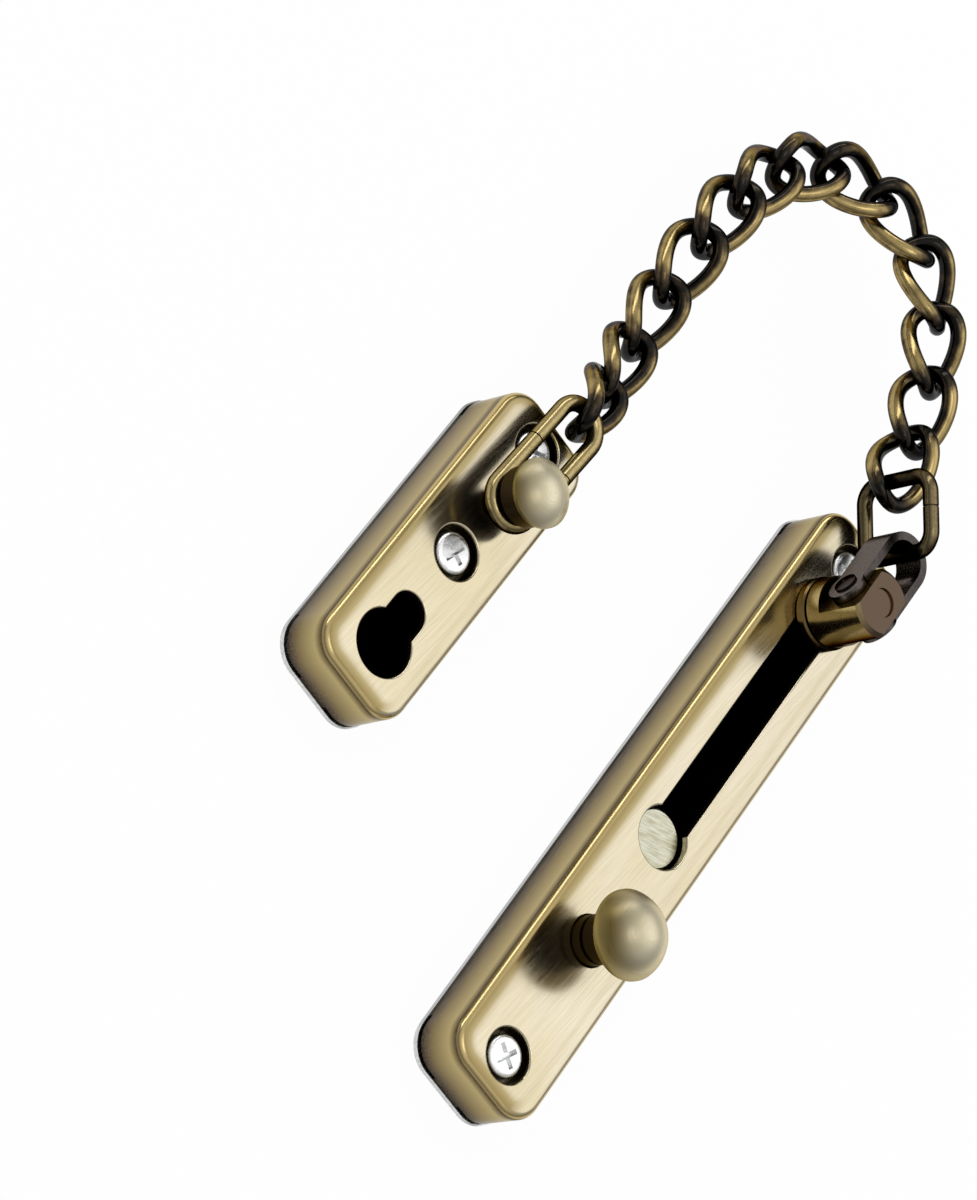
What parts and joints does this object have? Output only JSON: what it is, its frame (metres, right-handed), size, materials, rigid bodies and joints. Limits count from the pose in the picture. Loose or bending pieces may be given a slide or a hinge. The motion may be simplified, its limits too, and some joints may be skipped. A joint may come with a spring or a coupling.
{
  "type": "door chain",
  "caption": "Door security chain: keyhole-slot track plate with press release and slider, curb chain on a D-link, ring and stud on a frame keep plate; antique brass plated",
  "frame": {"origin": "middle of the door plate's flat back face", "axes": "+X along the door plate toward its press knob, +Y across the door plate away from the frame plate, +Z out of the door, so both plates lie on Z = 0"},
  "size_m": [0.2295, 0.104, 0.038],
  "materials": {
    "plated_cover": "satin brushed along the length, thin antique brass lacquer over steel",
    "knob_finish": "satin turned, lighter champagne brass",
    "chain_bronze": "dark antique bronze with brass rubbed bright on the high sides",
    "dark_bronze": "dark gunmetal bronze, satin",
    "bare_steel": "bare bright stainless steel"
  },
  "bodies": {
    "door_plate": {"door_cover": "plated_cover", "door_back_plate": "bare_steel", "door_screw_upper": "bare_steel", "door_screw_lower": "bare_steel"},
    "press_button": {"press_knob": "knob_finish", "lock_bar": "bare_steel", "stopper_disc": "bare_steel", "press_spring": "bare_steel"},
    "slider": {"slider": "dark_bronze"},
    "post": {"slider_post": "plated_cover"},
    "clevis": {"clevis": "dark_bronze", "clevis_pin": "dark_bronze"},
    "d_link": {"d_link": "chain_bronze"},
    "link_13": {"link_13": "chain_bronze"},
    "link_12": {"link_12": "chain_bronze"},
    "link_11": {"link_11": "chain_bronze"},
    "link_10": {"link_10": "chain_bronze"},
    "link_09": {"link_09": "chain_bronze"},
    "link_08": {"link_08": "chain_bronze"},
    "link_07": {"link_07": "chain_bronze"},
    "link_06": {"link_06": "chain_bronze"},
    "link_05": {"link_05": "chain_bronze"},
    "link_04": {"link_04": "chain_bronze"},
    "link_03": {"link_03": "chain_bronze"},
    "link_02": {"link_02": "chain_bronze"},
    "link_01": {"link_01": "chain_bronze"},
    "stud_ring": {"stud_ring": "knob_finish"},
    "frame_plate": {"frame_cover": "plated_cover", "frame_back_plate": "bare_steel", "frame_stud": "knob_finish", "frame_screw_upper": "bare_steel", "frame_screw_lower": "bare_steel"}
  },
  "joints": [
    {"name": "knob_press", "type": "slide", "parent": "door_plate", "child": "press_button", "axis": [0, 0, -1], "range_m": [0, 0.0036], "stiffness_N_per_m": 450, "springref_m": -0.002, "deforming": ["press_spring"]},
    {"name": "slider_run", "type": "slide", "parent": "door_plate", "child": "slider", "axis": [1, 0, 0], "range_m": [0, 0.0565]},
    {"name": "post_swivel", "type": "hinge", "parent": "slider", "child": "post", "pos_m": [-0.06, 0, 0.014], "axis": [0, 0, 1], "range_deg": [-90, 20]},
    {"name": "clevis_lift", "type": "hinge", "parent": "post", "child": "clevis", "pos_m": [-0.06, 0, 0.0265], "axis": [0, 1, 0], "range_deg": [-1, 60]},
    {"name": "d_link_swing", "type": "hinge", "parent": "clevis", "child": "d_link", "pos_m": [-0.07665, 0, 0.0265], "axis": [0, 0, 1], "range_deg": [-45, 18]},
    {"name": "link_13_swing", "type": "hinge", "parent": "d_link", "child": "link_13", "pos_m": [-0.08728, -0.00957, 0.0243], "axis": [0, 0, -1], "range_deg": [-18, 2]},
    {"name": "link_12_swing", "type": "hinge", "parent": "link_13", "child": "link_12", "pos_m": [-0.10183, -0.01214, 0.02353], "axis": [0, 0, 1], "range_deg": [-41, 17]},
    {"name": "link_11_swing", "type": "hinge", "parent": "link_12", "child": "link_11", "pos_m": [-0.11574, -0.0172, 0.02353], "axis": [0, 0, -1], "range_deg": [-16, 45]},
    {"name": "link_10_swing", "type": "hinge", "parent": "link_11", "child": "link_10", "pos_m": [-0.12829, -0.02504, 0.02353], "axis": [0, 0, 1], "range_deg": [-54, 12]},
    {"name": "link_09_swing", "type": "hinge", "parent": "link_10", "child": "link_09", "pos_m": [-0.13718, -0.03683, 0.0225], "axis": [0, 0, -1], "range_deg": [-3, 63]},
    {"name": "link_08_swing", "type": "hinge", "parent": "link_09", "child": "link_08", "pos_m": [-0.13896, -0.05134, 0.02018], "axis": [0, 0, 1], "range_deg": [-62, 4]},
    {"name": "link_07_swing", "type": "hinge", "parent": "link_08", "child": "link_07", "pos_m": [-0.13344, -0.06499, 0.01864], "axis": [0, 0, -1], "range_deg": [-3, 63]},
    {"name": "link_06_swing", "type": "hinge", "parent": "link_07", "child": "link_06", "pos_m": [-0.12178, -0.0741, 0.01864], "axis": [0, 0, 1], "range_deg": [-56, 10]},
    {"name": "link_05_swing", "type": "hinge", "parent": "link_06", "child": "link_05", "pos_m": [-0.10749, -0.07793, 0.01889], "axis": [0, 0, -1], "range_deg": [-18, 48]},
    {"name": "link_04_swing", "type": "hinge", "parent": "link_05", "child": "link_04", "pos_m": [-0.09277, -0.07793, 0.01735], "axis": [0, 0, 1], "range_deg": [-40, 20]},
    {"name": "link_03_swing", "type": "hinge", "parent": "link_04", "child": "link_03", "pos_m": [-0.0784, -0.07616, 0.01427], "axis": [0, 0, -1], "range_deg": [-22, 34]},
    {"name": "link_02_swing", "type": "hinge", "parent": "link_03", "child": "link_02", "pos_m": [-0.06386, -0.07386, 0.01272], "axis": [0, 0, 1], "range_deg": [-24, 26]},
    {"name": "link_01_swing", "type": "hinge", "parent": "link_02", "child": "link_01", "pos_m": [-0.04919, -0.07309, 0.01453], "axis": [0, 0, -1], "range_deg": [-30, 11]},
    {"name": "ring_swing", "type": "hinge", "parent": "link_01", "child": "stud_ring", "pos_m": [-0.03525, -0.07505, 0.0191], "axis": [0, 0, 1], "range_deg": [-25, 18]},
    {"name": "frame_plate_turn", "type": "hinge", "parent": "stud_ring", "child": "frame_plate", "pos_m": [-0.00751, -0.07675, 0.0191], "axis": [0, 0, -1], "range_deg": [-45, 45]}
  ]
}
